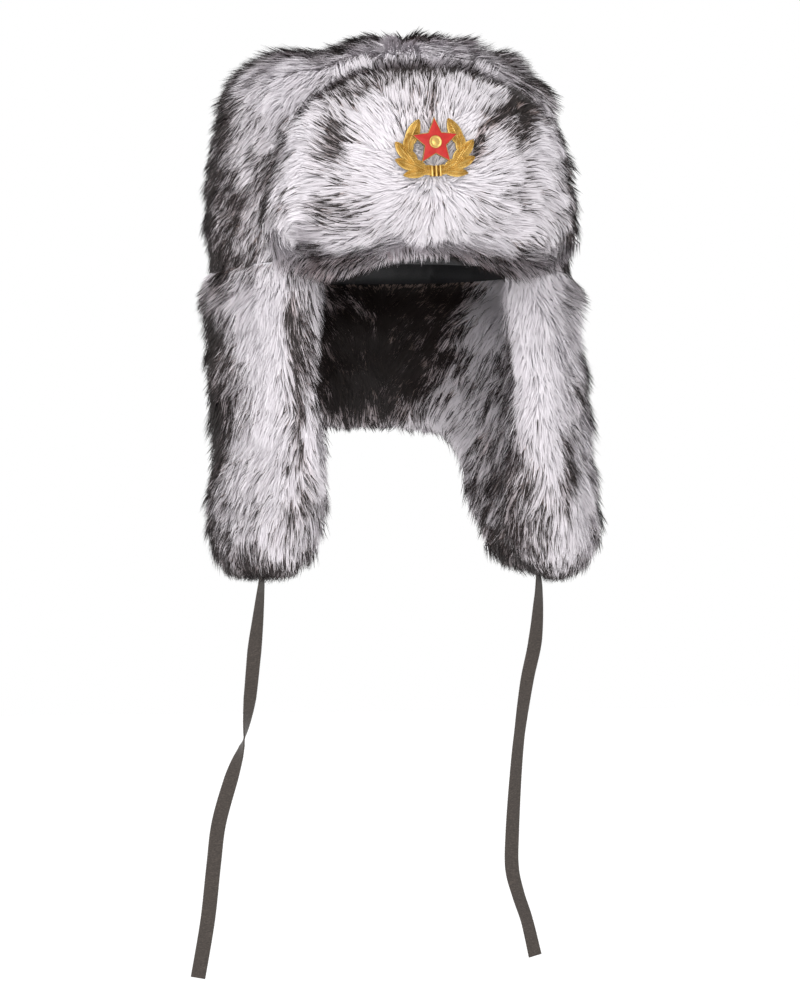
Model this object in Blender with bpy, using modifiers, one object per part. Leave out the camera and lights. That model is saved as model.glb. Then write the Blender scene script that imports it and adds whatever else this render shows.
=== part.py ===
"""Fur ushanka with its ear flaps down, a front flap turned up, a pinned badge and two hanging ties.

Metres, +Z up. The origin is the middle of the head opening, in the plane of the rim.
The front of the hat faces -Y, and +X is the wearer's left. Angles round the hat start
at the front (0) and run over the wearer's left (90) to the back (180).
"""
import math
import random
from collections import namedtuple

import bmesh
import bpy
from mathutils import Vector
from mathutils.geometry import interpolate_bezier

# Head opening and the cloth cap inside it
HEAD_WIDTH = 0.165
HEAD_LENGTH = 0.200
HEAD_DEPTH = 0.114
LINING_WALL = 0.0015
DOME_POWER = 2.6
GAP = 0.0003

# Crown
CROWN_FUR = 0.0260
CROWN_HEIGHT = 0.138
CROWN_POWER = 3.8
CROWN_TUCK = 0.007
TUCK_HEIGHT = 0.014
PRESSED_FUR = 0.010
PRESSED_ROWS = 1.6
PRESSED_FADE = 0.014
SEAM_OFFSET = 0.042
SEAM_WIDTH = 0.013
SEAM_DEPTH = 0.011
SIDE_PANEL_FALL = 0.004
SEAM_FADE_POWER = 6
TOP_SHARE = 0.06

# Front flap, turned up against the crown
FRONT_THICKNESS = 0.040
FRONT_HEIGHT = 0.112
FRONT_HEM = 0.005
FRONT_END_ANGLE = 51
FRONT_SLANT = 0.22
FRONT_END_ROUND = 9
FRONT_SEAT_GAP = 0.0005
CREASE_DEPTH = 0.007
CREASE_ANGLE = 4.0
FACE_SHARE = 0.94
FACE_POWER = 3.2
FACE_ROOT = 2.6
FRONT_EDGE_SHARE = 0.30
BACK_STEP = 0.0004

# Ear flaps and neck flap, one band hanging from the rim
EAR_DROP = 0.1815
NECK_DROP = 0.090
BAND_OUTER_FUR = 0.0255
BAND_INNER_FUR = 0.016
BAND_FRONT_ANGLE = 39
BAND_END_ROUND = 10
WAIST_ANGLE = 8
FLARE_LEFT = 0.021
FLARE_RIGHT = 0.002
INNER_FLARE = 0.4
FLARE_FULL_ANGLE = 80
FLARE_NONE_ANGLE = 112
FLARE_TURN = 0.62
FLARE_POWER = 1.4
WAIST_REACH = 0.22
WAIST_TURN = 1.25

# Rounded ends of the front flap and of the band
ROUND_STEPS = (0, 0.10, 0.32, 0.66)
ROUND_REACH = 0.8
END_SHARE = 0.30
HEM_SHARE = 0.5

# Locks of fur
LOCK_DEPTH = 0.0075
LOCK_LEAN = 0.55
ROWS_PER_LOCK = 3
VALLEY_SHARE = 0.30
LEAST_RIDGE = 0.7
CALM_ROWS = 4
LOCK_SEED = 11

# Badge: a gilt wreath under an enamelled star
BADGE_HEIGHT_ON_CROWN = 0.060
BADGE_SIDE = -0.003
BADGE_WIDTH = 0.046
BADGE_DEEP = 0.033
BADGE_TILT = 3.0
BADGE_SINK = 0.006
SEAT_MARGIN = 0.012
SEAT_FADE = 1.5
STEM_WIDTH = 0.0315
STEM_DEEP = 0.0275
STEM_RISE = 0.0005
STEM_SWEEP = 150
WREATH_BASE = 0.0010
WREATH_RELIEF = 0.0011
VEIN_SHARE = 0.3
STAR_RADIUS = 0.0140
STAR_THICKNESS = 0.0012
STAR_LIFT = WREATH_BASE + WREATH_RELIEF + GAP
STAR_WAIST = 0.40
STAR_RISE = 0.0025
RIM_WIDTH = 0.0016
ENAMEL_THICKNESS = 0.0006
ENAMEL_CLEARANCE = 0.0008
BOSS_RADIUS = 0.0038
BOSS_HEIGHT = 0.0008
BOSS_STEPS = 16

# Ties: flat ribbed tapes
TAPE_WIDTH = 0.0088
TAPE_THICKNESS = 0.0010
TAPE_POINTS = 24
ROUTE_STEPS = 16

# Grid steps
COLUMNS = 60
CROWN_ROWS = 18
DOME_ROWS = 5
FRONT_ROWS = 12
BAND_ROWS = 15
HEM_STEPS = 5
TOP_LEVEL = 1 - TOP_SHARE

Drop = namedtuple("Drop", "along share")
Section = namedtuple("Section", "down outer inner")
Hem = namedtuple("Hem", "along top bottom")
Leaf = namedtuple("Leaf", "along outer inner lean relief")
Turned = namedtuple("Turned", "out up")
Stop = namedtuple("Stop", "out y below turn")

# Lower edge of the band, from its front edge (0) to the middle of the back (1).
# share is how far the edge reaches from the neck flap's drop to the ear flap's.
BAND_EDGE = [
    Drop(0.00, 0.40), Drop(0.02, 0.70), Drop(0.05, 0.90), Drop(0.10, 0.98),
    Drop(0.17, 1.00), Drop(0.27, 1.00), Drop(0.38, 1.00), Drop(0.44, 0.97),
    Drop(0.49, 0.92), Drop(0.54, 0.79), Drop(0.58, 0.61), Drop(0.62, 0.40),
    Drop(0.67, 0.18), Drop(0.75, 0.04), Drop(1.00, 0.00),
]

# Side view of the band's wall: down is the share of the local drop, outer and inner
# are shares of the outer and inner fur.
BAND_SECTION = [
    Section(0.00, 0.86, 0.02), Section(0.07, 1.00, 0.40), Section(0.22, 1.02, 0.86),
    Section(0.42, 0.96, 1.00), Section(0.60, 0.84, 1.04), Section(0.78, 1.00, 1.05),
    Section(0.92, 1.02, 1.02), Section(1.00, 0.98, 0.98),
]

# Upper and lower edge of the front flap from its middle (0) to its end (1), as shares
# of the flap's height and of its hem.
FRONT_EDGE = [
    Hem(0.00, 1.000, 0.80), Hem(0.25, 0.995, 0.20), Hem(0.50, 0.970, -0.90),
    Hem(0.68, 0.920, -0.60), Hem(0.80, 0.860, 0.20), Hem(0.92, 0.760, 0.30),
    Hem(1.00, 0.640, 0.50),
]

# One branch of the wreath from the tie at the bottom (0) to its upper tip (1).
# outer and inner are reaches from the stem as shares of half the badge's depth,
# lean carries an edge forward along the stem, relief is the height of the leaf ridge.
BRANCH_LEAVES = [
    Leaf(0.00, 0.17, 0.17, 0.00, 0.9), Leaf(0.06, 0.19, 0.17, 0.00, 1.0),
    Leaf(0.10, 0.12, 0.13, 0.02, 0.5), Leaf(0.16, 0.26, 0.18, 0.05, 1.0),
    Leaf(0.22, 0.44, 0.14, 0.10, 0.8), Leaf(0.25, 0.14, 0.12, 0.02, 0.4),
    Leaf(0.33, 0.28, 0.18, 0.05, 1.0), Leaf(0.40, 0.46, 0.15, 0.11, 0.8),
    Leaf(0.44, 0.15, 0.12, 0.02, 0.4), Leaf(0.51, 0.28, 0.17, 0.05, 1.0),
    Leaf(0.58, 0.45, 0.15, 0.12, 0.8), Leaf(0.62, 0.14, 0.13, 0.02, 0.4),
    Leaf(0.71, 0.21, 0.19, 0.03, 1.0), Leaf(0.80, 0.20, 0.18, 0.04, 1.0),
    Leaf(0.90, 0.13, 0.12, 0.02, 0.8), Leaf(1.00, 0.02, 0.02, 0.00, 0.3),
]

# Profile of the button, out from its axis and up from the star, as shares of its
# radius and height.
BOSS_PROFILE = [
    Turned(0.00, 1.00), Turned(0.28, 0.90), Turned(0.45, 0.35), Turned(0.70, 0.35),
    Turned(0.78, 0.85), Turned(0.92, 0.85), Turned(1.00, 0.40), Turned(1.00, 0.00),
    Turned(0.00, 0.00),
]

# Routes of the two ties, top to bottom: out from the side of the head opening, y, and
# below the ear flap's hem. turn is the tape's twist in degrees: at 0 its flat side
# faces the front.
RIGHT_TIE = [
    Stop(-0.0006, -0.038, 0.0007, -12), Stop(0.0018, -0.038, 0.0243, -10),
    Stop(0.0039, -0.037, 0.0449, -6), Stop(0.0064, -0.036, 0.0726, -20),
    Stop(0.0096, -0.036, 0.0951, -78), Stop(0.0117, -0.036, 0.1025, -102),
    Stop(0.0176, -0.037, 0.1192, -152), Stop(0.0251, -0.038, 0.1452, -174),
    Stop(0.0283, -0.039, 0.1693, -178), Stop(0.0317, -0.038, 0.2018, -174),
    Stop(0.0371, -0.036, 0.2354, -170),
]
LEFT_TIE = [
    Stop(0.0021, -0.038, -0.0007, -8), Stop(0.0023, -0.038, 0.0130, -8),
    Stop(0.0004, -0.037, 0.0402, -4), Stop(-0.0044, -0.036, 0.0644, -10),
    Stop(-0.0089, -0.036, 0.0951, -28), Stop(-0.0116, -0.037, 0.1210, -20),
    Stop(-0.0138, -0.038, 0.1534, -6), Stop(-0.0140, -0.038, 0.1747, -2),
    Stop(-0.0100, -0.037, 0.1906, -16), Stop(-0.0044, -0.036, 0.2065, -20),
    Stop(0.0007, -0.036, 0.2277, -10),
]

COLOURS = {
    "white_fur": ((0.72, 0.70, 0.70, 1), 0.90, 0.0),
    "black_cloth": ((0.012, 0.012, 0.014, 1), 0.85, 0.0),
    "brown_tape": ((0.045, 0.032, 0.026, 1), 0.80, 0.0),
    "gilt": ((0.62, 0.42, 0.12, 1), 0.32, 1.0),
    "red_enamel": ((0.62, 0.03, 0.025, 1), 0.18, 0.0),
}


def smoothstep(low, high, value):
    t = min(max((value - low) / (high - low), 0.0), 1.0)
    return t * t * (3 - 2 * t)


def read_table(rows, at, column):
    """A column of a table at a place between its rows, on a straight line from row to row."""
    for before, after in zip(rows, rows[1:]):
        if at <= after[0]:
            share = (at - before[0]) / (after[0] - before[0])
            low, high = getattr(before, column), getattr(after, column)
            return low + (high - low) * min(max(share, 0.0), 1.0)
    return getattr(rows[-1], column)


def plan_point(angle, offset):
    """A point in plan: on the head's oval and then out along the oval's normal."""
    turn = math.radians(angle)
    half_x, half_y = HEAD_WIDTH / 2, HEAD_LENGTH / 2
    on_oval = Vector((half_x * math.sin(turn), -half_y * math.cos(turn), 0))
    normal = Vector((math.sin(turn) / half_x, -math.cos(turn) / half_y, 0)).normalized()
    return on_oval + normal * offset


def fold_angle(angle):
    """The angle from the front, the same on both sides."""
    return abs((angle + 180) % 360 - 180)


def dome_shares(level, power):
    """Radius and height shares of a rounded box profile, from rim (0) to top (1)."""
    turn = math.radians(90 * level)
    reach = (math.cos(turn) ** power + math.sin(turn) ** power) ** (-1 / power)
    return reach * math.cos(turn), reach * math.sin(turn)


def front_top(angle):
    return FRONT_HEIGHT * read_table(FRONT_EDGE, fold_angle(angle) / FRONT_END_ANGLE, "top")


def front_bottom(angle):
    return FRONT_HEM * read_table(FRONT_EDGE, fold_angle(angle) / FRONT_END_ANGLE, "bottom")


def pressed_share(angle, z):
    """1 where the front flap lies on the crown and flattens its fur, 0 away from it."""
    step = 360 / COLUMNS
    edge = math.ceil(FRONT_END_ANGLE / step) * step
    side = 1 - smoothstep(edge, edge + 2 * step, fold_angle(angle))
    above = front_top(min(fold_angle(angle), FRONT_END_ANGLE)) + CROWN_HEIGHT / CROWN_ROWS * PRESSED_ROWS
    return side * (1 - smoothstep(above, above + PRESSED_FADE, z))


def crown_surface(angle, level, sink=0.0):
    """A point of the crown's outer form, sunk by a depth below the tips of the locks."""
    radius, height = dome_shares(level, CROWN_POWER)
    z = CROWN_HEIGHT * height
    offset = LINING_WALL + GAP + CROWN_FUR
    pressed = pressed_share(angle, z)
    offset += (LINING_WALL + GAP + PRESSED_FUR - offset) * pressed
    tuck = CROWN_TUCK * (1 - pressed) * (1 - smoothstep(0, TUCK_HEIGHT, z))
    place = plan_point(angle, offset - tuck) * radius
    seam = math.exp(-((abs(place.x) - SEAM_OFFSET) / SEAM_WIDTH) ** 2)
    side = smoothstep(SEAM_OFFSET, SEAM_OFFSET + SEAM_WIDTH, abs(place.x))
    fall = (SEAM_DEPTH * seam + SIDE_PANEL_FALL * side) * height ** SEAM_FADE_POWER * (1 - pressed)
    depth = sink * (1 - pressed)
    place.z = z - fall - depth * height ** 3
    place -= place.xy.to_3d().normalized() * min(depth * (1 - height ** SEAM_FADE_POWER), place.xy.length)
    return place


class Locks:
    """Heights of the locks on a grid: each rises along its rows and drops behind its tip."""

    def __init__(self, seed):
        self.rng = random.Random(seed)
        self.phase = {}

    def lift(self, row, column):
        if column not in self.phase:
            self.phase[column] = self.rng.randrange(ROWS_PER_LOCK)
        band, step = divmod(row + self.phase[column], ROWS_PER_LOCK)
        ridge = 1.0 if (column + band) % 2 == 0 else VALLEY_SHARE
        return ridge * step / (ROWS_PER_LOCK - 1) * self.rng.uniform(LEAST_RIDGE, 1.0)


def new_object(name, mesh, collection, colour, smooth=False):
    material = bpy.data.materials.new(name)
    material.use_nodes = True
    shader = material.node_tree.nodes["Principled BSDF"]
    base, roughness, metallic = COLOURS[colour]
    shader.inputs["Base Color"].default_value = base
    shader.inputs["Roughness"].default_value = roughness
    shader.inputs["Metallic"].default_value = metallic
    material.diffuse_color = base
    mesh.materials.append(material)
    obj = bpy.data.objects.new(name, mesh)
    collection.objects.link(obj)
    if smooth:
        mesh.shade_smooth()
        mesh.set_sharp_from_angle(angle=math.radians(50))
    return obj


def loft(name, rings, start=None, end=None):
    """A skin through rings of equal count; start and end are the points that close it."""
    bm = bmesh.new()
    loops = [[bm.verts.new(point) for point in ring] for ring in rings]
    count = len(rings[0])
    for lower, upper in zip(loops, loops[1:]):
        for i in range(count):
            j = (i + 1) % count
            bm.faces.new((lower[i], lower[j], upper[j], upper[i]))
    for loop, pole in ((loops[0], start), (loops[-1], end)):
        if pole is not None:
            tip = bm.verts.new(pole)
            for i in range(count):
                bm.faces.new((loop[i], loop[(i + 1) % count], tip))
    bmesh.ops.recalc_face_normals(bm, faces=bm.faces)
    bmesh.ops.triangulate(bm, faces=bm.faces, quad_method="SHORT_EDGE")
    mesh = bpy.data.meshes.new(name)
    bm.to_mesh(mesh)
    bm.free()
    return mesh


def dome_ring(level, offset, height):
    radius, rise = dome_shares(level, DOME_POWER)
    ring = []
    for column in range(COLUMNS):
        place = plan_point(column * 360 / COLUMNS, offset) * radius
        place.z = height * rise
        ring.append(place)
    return ring


def make_lining(collection):
    """Cloth cap: the head's own form, given its wall by Solidify."""
    levels = [TOP_LEVEL * row / DOME_ROWS for row in range(DOME_ROWS + 1)]
    rings = [dome_ring(level, 0, HEAD_DEPTH) for level in levels]
    mesh = loft("crown_lining", rings, end=Vector((0, 0, HEAD_DEPTH)))
    lining = new_object("crown_lining", mesh, collection, "black_cloth", smooth=True)
    wall = lining.modifiers.new("wall", "SOLIDIFY")
    wall.thickness = LINING_WALL
    wall.offset = 1 if mesh.polygons[0].normal.dot(mesh.polygons[0].center) > 0 else -1
    wall.use_even_offset = True
    return lining


def make_crown(collection):
    """Deep fur over the lining, its locks combed from the top down to the rim."""
    locks = Locks(LOCK_SEED)
    offset, height = LINING_WALL + GAP, HEAD_DEPTH + LINING_WALL + GAP
    levels = [TOP_LEVEL * row / DOME_ROWS for row in range(DOME_ROWS + 1)]
    rings = [dome_ring(level, offset, height) for level in reversed(levels)]
    for row in range(CROWN_ROWS + 1):
        ring = []
        calm = smoothstep(CROWN_ROWS - CALM_ROWS, CROWN_ROWS, row)
        for column in range(COLUMNS):
            angle = column * 360 / COLUMNS
            lift = locks.lift(CROWN_ROWS - row, column)
            lift += (0.5 - lift) * calm
            lean = LOCK_LEAN * lift if 0 < row < CROWN_ROWS else 0
            level = TOP_LEVEL * (row - lean) / CROWN_ROWS
            z = CROWN_HEIGHT * dome_shares(level, CROWN_POWER)[1]
            if pressed_share(angle, z) > 0:
                level = TOP_LEVEL * row / CROWN_ROWS
            ring.append(crown_surface(angle, level, LOCK_DEPTH * (1 - lift)))
        rings.append(ring)
    top = crown_surface(0, 1.0, LOCK_DEPTH / 2)
    mesh = loft("crown_fur", rings, start=Vector((0, 0, height)), end=top)
    return new_object("crown_fur", mesh, collection, "white_fur")


def badge_plane():
    """The Y of the flat seat that the front flap has for the badge."""
    stack = LINING_WALL + GAP + PRESSED_FUR + FRONT_SEAT_GAP + FRONT_THICKNESS
    return -(HEAD_LENGTH / 2 + stack - BADGE_SINK)


def seat_share(x, z):
    """1 on the flat seat of the badge, 0 away from it."""
    along = (x - BADGE_SIDE) / (BADGE_WIDTH / 2 + SEAT_MARGIN)
    up = (z - BADGE_HEIGHT_ON_CROWN) / (BADGE_DEEP / 2 + SEAT_MARGIN)
    return 1 - smoothstep(1.0, SEAT_FADE, math.hypot(along, up))


def slanted(angle, z):
    """The front flap narrows towards its top."""
    return angle * (1 - FRONT_SLANT * smoothstep(0, FRONT_HEIGHT, z))


def front_section(angle, column, end_share, locks):
    """Closed section of the front flap at one angle: up its back and down its face."""
    bottom, top = front_bottom(angle), front_top(angle)
    base = LINING_WALL + GAP + PRESSED_FUR + FRONT_SEAT_GAP
    heights = [CROWN_HEIGHT * dome_shares(TOP_LEVEL * row / CROWN_ROWS, CROWN_POWER)[1]
               for row in range(1, CROWN_ROWS)]
    backs = [bottom] + [min(z, top) for z in heights if z < FRONT_HEIGHT] + [top]
    backs = [z - BACK_STEP * (len(backs) - i - 1) if z >= top else z for i, z in enumerate(backs)]
    ring = []
    for z in backs:
        radius = (1 - min(max(z, 0) / CROWN_HEIGHT, 1) ** CROWN_POWER) ** (1 / CROWN_POWER)
        place = plan_point(slanted(angle, z), base) * radius
        place.z = z
        ring.append(place)
    crease = math.exp(-(angle / CREASE_ANGLE) ** 2)
    for row in range(FRONT_ROWS + 1):
        along = row / FRONT_ROWS
        lift = locks.lift(row, column)
        along += LOCK_LEAN * lift / FRONT_ROWS if 0 < row < FRONT_ROWS else 0
        round_off = (1 - abs(2 * along - 1) ** FACE_POWER) ** (1 / FACE_ROOT) if 0 < along < 1 else 0.0
        z = top - (top - bottom) * (0.5 + FACE_SHARE * (along - 0.5))
        radius = (1 - min(max(z, 0) / CROWN_HEIGHT, 1) ** CROWN_POWER) ** (1 / CROWN_POWER)
        thickness = FRONT_THICKNESS * end_share * (FRONT_EDGE_SHARE + (1 - FRONT_EDGE_SHARE) * round_off)
        swing = slanted(angle, z)
        seat = seat_share(plan_point(swing, base + FRONT_THICKNESS).x, z)
        thickness -= LOCK_DEPTH * (1 - lift) * (1 - seat) * end_share * min(1, 3 * round_off)
        above = smoothstep(BADGE_HEIGHT_ON_CROWN, BADGE_HEIGHT_ON_CROWN + BADGE_DEEP, z)
        thickness -= CREASE_DEPTH * crease * above * round_off
        place = plan_point(swing, base + thickness) * radius
        place.y += (badge_plane() - place.y) * seat
        place.z = z
        ring.append(place)
    return ring


def end_stations(first, last, round_span, step):
    """Angles of the sections between two ends, closer where the ends are rounded."""
    near = [first + round_span * share for share in ROUND_STEPS]
    far = [last - round_span * share for share in reversed(ROUND_STEPS)]
    start = math.ceil((first + round_span * ROUND_REACH) / step) * step
    middle = []
    while start < last - round_span * ROUND_REACH + 1e-6:
        middle.append(start)
        start += step
    return near + middle + far


def end_rounding(angle, first, last, round_span):
    """Share of the full thickness near a rounded end."""
    inside = min(angle - first, last - angle) / round_span
    return max(END_SHARE, math.sqrt(max(0.0, 1 - (1 - min(inside, 1)) ** 2)))


def make_front_flap(collection):
    locks = Locks(LOCK_SEED + 1)
    step = 180 / COLUMNS
    stations = end_stations(-FRONT_END_ANGLE, FRONT_END_ANGLE, FRONT_END_ROUND, step)
    rings = []
    for column, angle in enumerate(stations):
        share = end_rounding(angle, -FRONT_END_ANGLE, FRONT_END_ANGLE, FRONT_END_ROUND)
        rings.append(front_section(angle, column, share, locks))
    ends = [sum(ring, Vector()) / len(ring) for ring in (rings[0], rings[-1])]
    mesh = loft("front_flap", rings, start=ends[0], end=ends[1])
    return new_object("front_flap", mesh, collection, "white_fur")


def band_wall(angle, down, lift, side, end_share):
    """A point on the band's outer (side 1) or inner (side -1) face."""
    column = "outer" if side > 0 else "inner"
    fur = BAND_OUTER_FUR if side > 0 else BAND_INNER_FUR
    reach = side * fur * read_table(BAND_SECTION, down, column)
    middle = (BAND_OUTER_FUR - BAND_INNER_FUR) / 2 * min(1, 4 * down + 0.4)
    reach = middle + (reach - middle) * end_share
    sink = LOCK_DEPTH * (1 - lift) * end_share * min(1, 8 * down)
    flare = (FLARE_LEFT if angle < 180 else FLARE_RIGHT) * (1 if side > 0 else INNER_FLARE)
    ear = 1 - smoothstep(FLARE_FULL_ANGLE, FLARE_NONE_ANGLE, fold_angle(angle))
    return reach - side * sink + flare * ear * math.sin(math.pi * FLARE_TURN * down) ** FLARE_POWER


def band_section(angle, column, end_share, locks):
    """Closed section of the band at one angle: down its outer face and up its inner one."""
    first = BAND_FRONT_ANGLE
    along = (fold_angle(angle) - first) / (180 - first)
    drop = NECK_DROP + (EAR_DROP - NECK_DROP) * read_table(BAND_EDGE, along, "share")
    hem = (BAND_OUTER_FUR + BAND_INNER_FUR) / 2 * max(end_share, HEM_SHARE)
    front = 1 - smoothstep(0.0, WAIST_REACH, along)
    turn = WAIST_ANGLE * front * (1 if angle < 180 else -1)
    outer, inner = [], []
    for row in range(BAND_ROWS + 1):
        for side, wall in ((1, outer), (-1, inner)):
            lift = locks.lift(row, side * (column + 1))
            lean = LOCK_LEAN * lift if 0 < row < BAND_ROWS else 0
            down = (row + lean) / BAND_ROWS * (1 - hem / drop)
            waist = math.sin(math.pi * min(down * WAIST_TURN, 1)) ** 2
            offset = band_wall(angle, down, lift, side, end_share)
            place = plan_point(angle + turn * waist, offset)
            place.z = -GAP - drop * down
            wall.append(place)
    edge = []
    for step in range(1, HEM_STEPS + 1):
        swing = math.pi * step / (HEM_STEPS + 1)
        mix = (1 - math.cos(swing)) / 2
        place = outer[-1].lerp(inner[-1], mix)
        place.z = outer[-1].z - hem * math.sin(swing)
        edge.append(place)
    return outer + edge + inner[::-1]


def make_ear_band(collection):
    """Ear flaps and neck flap in one piece, furred on both faces."""
    locks = Locks(LOCK_SEED + 2)
    first, last = BAND_FRONT_ANGLE, 360 - BAND_FRONT_ANGLE
    stations = end_stations(first, last, BAND_END_ROUND, 360 / COLUMNS)
    rings = []
    for column, angle in enumerate(stations):
        share = end_rounding(angle, first, last, BAND_END_ROUND)
        rings.append(band_section(angle, column, share, locks))
    ends = [sum(ring, Vector()) / len(ring) for ring in (rings[0], rings[-1])]
    mesh = loft("ear_and_neck_flap", rings, start=ends[0], end=ends[1])
    return new_object("ear_and_neck_flap", mesh, collection, "white_fur")


def badge_point(x, up, height):
    """A point of the badge: x and up in its face, height off the seat."""
    tilt = math.radians(BADGE_TILT)
    across = BADGE_SIDE + x * math.cos(tilt) - up * math.sin(tilt)
    return Vector((across, badge_plane() - GAP - height,
                   BADGE_HEIGHT_ON_CROWN + x * math.sin(tilt) + up * math.cos(tilt)))


def branch_stem(along, side):
    """The stem of one branch, from the tie at the bottom to its upper tip."""
    swing = math.radians(-90 + STEM_SWEEP * along)
    across = STEM_WIDTH / 2 * math.cos(swing)
    return Vector((side * across, STEM_RISE + STEM_DEEP / 2 * math.sin(swing)))


def make_wreath(collection):
    """Two leafy branches in one casting, tied at the bottom."""
    unit = BADGE_DEEP / 2
    rows = [(-1, leaf) for leaf in reversed(BRANCH_LEAVES)] + [(1, leaf) for leaf in BRANCH_LEAVES[1:]]
    rings = []
    for side, leaf in rows:
        here = branch_stem(leaf.along, side)
        ahead = branch_stem(leaf.along + 0.01, side) - here
        ahead.normalize()
        out = Vector((-ahead.y, ahead.x)) * (-side)
        outer = here + (out * leaf.outer + ahead * leaf.lean) * unit
        inner = here + (-out * leaf.inner + ahead * leaf.lean) * unit
        ridge = WREATH_BASE + WREATH_RELIEF * leaf.relief
        vein = WREATH_BASE + WREATH_RELIEF * VEIN_SHARE
        profile = [(outer, 0), (outer, WREATH_BASE), (here.lerp(outer, 0.5), ridge), (here, vein),
                   (here.lerp(inner, 0.5), ridge), (inner, WREATH_BASE), (inner, 0)]
        rings.append([badge_point(place.x, place.y, height) for place, height in profile])
    ends = [sum(ring, Vector()) / len(ring) for ring in (rings[0], rings[-1])]
    mesh = loft("badge_wreath", rings, start=ends[0], end=ends[1])
    return new_object("badge_wreath", mesh, collection, "gilt")


def star_ring(radius, height):
    """Outline of a five-pointed star in the badge's face."""
    ring = []
    for corner in range(10):
        reach = radius if corner % 2 == 0 else radius * STAR_WAIST
        swing = math.radians(90 + 36 * corner)
        ring.append(badge_point(reach * math.cos(swing), STAR_RISE + reach * math.sin(swing), height))
    return ring


def make_star(collection):
    """Gilt star with a raised rim, and the enamel plate inside the rim."""
    floor = STAR_LIFT + STAR_THICKNESS
    rim_top = floor + GAP + ENAMEL_THICKNESS
    pocket = STAR_RADIUS - RIM_WIDTH
    rings = [star_ring(STAR_RADIUS, STAR_LIFT), star_ring(STAR_RADIUS, rim_top),
             star_ring(pocket, rim_top), star_ring(pocket, floor)]
    mesh = loft("badge_star", rings, start=badge_point(0, STAR_RISE, STAR_LIFT),
                end=badge_point(0, STAR_RISE, floor))
    star = new_object("badge_star", mesh, collection, "gilt")
    plate = pocket - ENAMEL_CLEARANCE
    rings = [star_ring(plate, floor + GAP), star_ring(plate, rim_top)]
    mesh = loft("badge_enamel", rings, start=badge_point(0, STAR_RISE, floor + GAP),
                end=badge_point(0, STAR_RISE, rim_top))
    return star, new_object("badge_enamel", mesh, collection, "red_enamel")


def make_boss(collection):
    """Plain turned button on the middle of the star: a rim round a small dome."""
    bm = bmesh.new()
    verts = [bm.verts.new((BOSS_RADIUS * turned.out, 0, BOSS_HEIGHT * turned.up))
             for turned in BOSS_PROFILE]
    for first, second in zip(verts, verts[1:]):
        bm.edges.new((first, second))
    mesh = bpy.data.meshes.new("badge_boss")
    bm.to_mesh(mesh)
    bm.free()
    boss = new_object("badge_boss", mesh, collection, "gilt")
    turn = boss.modifiers.new("turn", "SCREW")
    turn.steps = turn.render_steps = BOSS_STEPS
    turn.use_merge_vertices = True
    turn.merge_threshold = 0.00001
    low = STAR_LIFT + STAR_THICKNESS + ENAMEL_THICKNESS + 2 * GAP
    boss.location = badge_point(0, STAR_RISE, low)
    boss.rotation_euler = (math.radians(90), math.radians(-BADGE_TILT), 0)
    return boss


def tie_stops(route, side):
    """A route's stops as places and turns, on the wearer's left (side 1) or right (-1)."""
    return [(Vector((side * (HEAD_WIDTH / 2 + stop.out), stop.y, -EAR_DROP - stop.below)), stop.turn)
            for stop in route]


def smooth_route(stops, count):
    """Even points on a smooth curve through the route's own stops, with the tape's turn."""
    fine = []
    for i in range(len(stops) - 1):
        (a, turn_a), (b, turn_b) = stops[i], stops[i + 1]
        before, after = stops[max(i - 1, 0)][0], stops[min(i + 2, len(stops) - 1)][0]
        lean_a, lean_b = (b - before) / 6, (after - a) / 6
        curve = interpolate_bezier(a, a + lean_a, b - lean_b, b, ROUTE_STEPS + 1)
        for k, place in enumerate(curve[:-1]):
            fine.append((place, turn_a + (turn_b - turn_a) * k / ROUTE_STEPS))
    fine.append(stops[-1])
    lengths = [0.0]
    for (a, _), (b, _) in zip(fine, fine[1:]):
        lengths.append(lengths[-1] + (b - a).length)
    points = []
    for k in range(count):
        want = lengths[-1] * k / (count - 1)
        i = max(1, next((n for n, run in enumerate(lengths) if run >= want - 1e-9), len(fine) - 1))
        share = (want - lengths[i - 1]) / (lengths[i] - lengths[i - 1])
        place = fine[i - 1][0].lerp(fine[i][0], share)
        points.append((place, fine[i - 1][1] + (fine[i][1] - fine[i - 1][1]) * share))
    return points


def make_tie(name, stops, collection):
    """Flat tape hanging from an ear flap."""
    curve = bpy.data.curves.new(name, "CURVE")
    curve.dimensions = "3D"
    curve.extrude = (TAPE_WIDTH - TAPE_THICKNESS) / 2
    curve.bevel_depth = TAPE_THICKNESS / 2
    curve.bevel_resolution = 0
    curve.use_fill_caps = True
    curve.twist_mode = "MINIMUM"
    spline = curve.splines.new("POLY")
    route = smooth_route(stops, TAPE_POINTS)
    spline.points.add(len(route) - 1)
    for point, (place, turn) in zip(spline.points, route):
        point.co = (*place, 1)
        point.tilt = math.radians(turn)
    tie = bpy.data.objects.new(name, curve)
    collection.objects.link(tie)
    bpy.context.view_layer.update()
    graph = bpy.context.evaluated_depsgraph_get()
    mesh = bpy.data.meshes.new_from_object(tie.evaluated_get(graph))
    bpy.data.objects.remove(tie)
    bpy.data.curves.remove(curve)
    mesh.materials.clear()
    bm = bmesh.new()
    bm.from_mesh(mesh)
    bmesh.ops.remove_doubles(bm, verts=bm.verts, dist=1e-6)
    bmesh.ops.recalc_face_normals(bm, faces=bm.faces)
    bm.to_mesh(mesh)
    bm.free()
    return new_object(name, mesh, collection, "brown_tape")


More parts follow.
